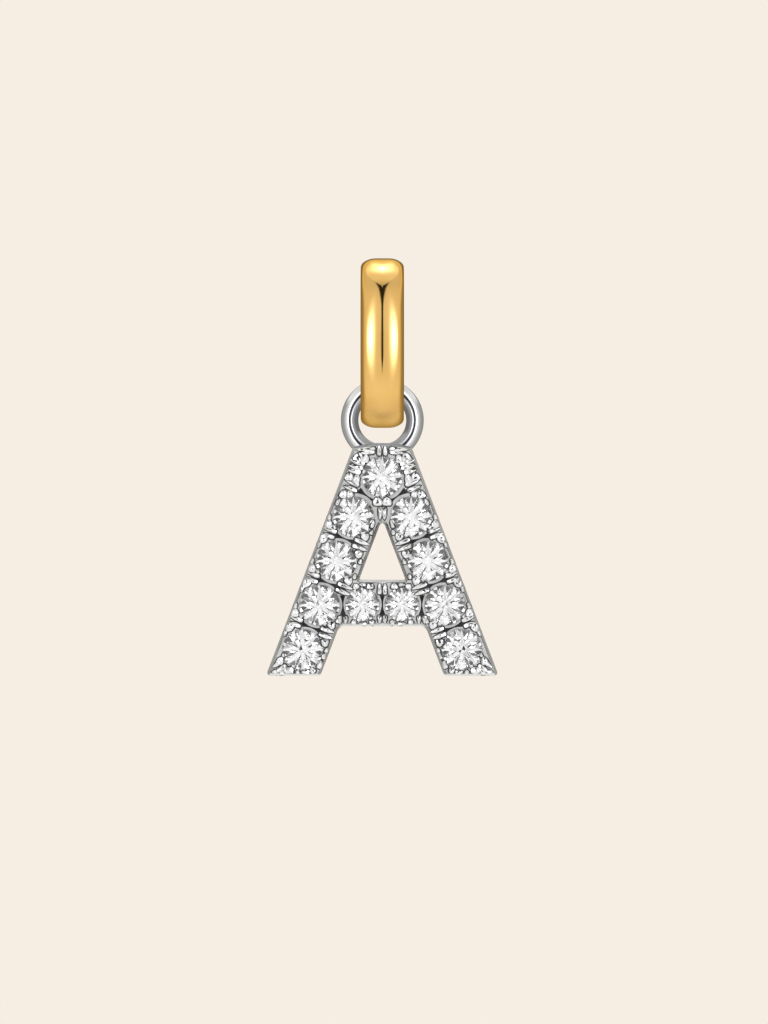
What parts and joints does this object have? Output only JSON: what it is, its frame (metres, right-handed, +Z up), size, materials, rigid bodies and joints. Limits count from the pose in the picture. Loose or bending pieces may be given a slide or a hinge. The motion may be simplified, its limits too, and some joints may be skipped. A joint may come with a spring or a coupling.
{
  "type": "initial pendant",
  "caption": "Letter A pendant set with round clear stones, on a soldered round ring that swings in an oval gold bail.",
  "frame": {"origin": "top of the bail's hollow, on the line along X on which a chain carries the pendant", "axes": "+X along the chain and across the letter, -Y towards the front with the stones, +Z up"},
  "size_m": [0.0084, 0.0044, 0.0155],
  "materials": {
    "gold": "polished",
    "white_metal": "polished",
    "clear_stone": "faceted and polished"
  },
  "bodies": {
    "bail": {"bail": "gold"},
    "letter": {"letter_frame": "white_metal", "stone_top": "clear_stone", "stone_left_1": "clear_stone", "stone_left_2": "clear_stone", "stone_left_3": "clear_stone", "stone_left_4": "clear_stone", "stone_right_1": "clear_stone", "stone_right_2": "clear_stone", "stone_right_3": "clear_stone", "stone_right_4": "clear_stone", "stone_bar_left": "clear_stone", "stone_bar_right": "clear_stone"}
  },
  "joints": [
    {"name": "letter_swing", "type": "hinge", "parent": "bail", "child": "letter", "pos_m": [0, 0, -0.00532], "axis": [0, 1, 0], "range_deg": [-80, 80]}
  ]
}
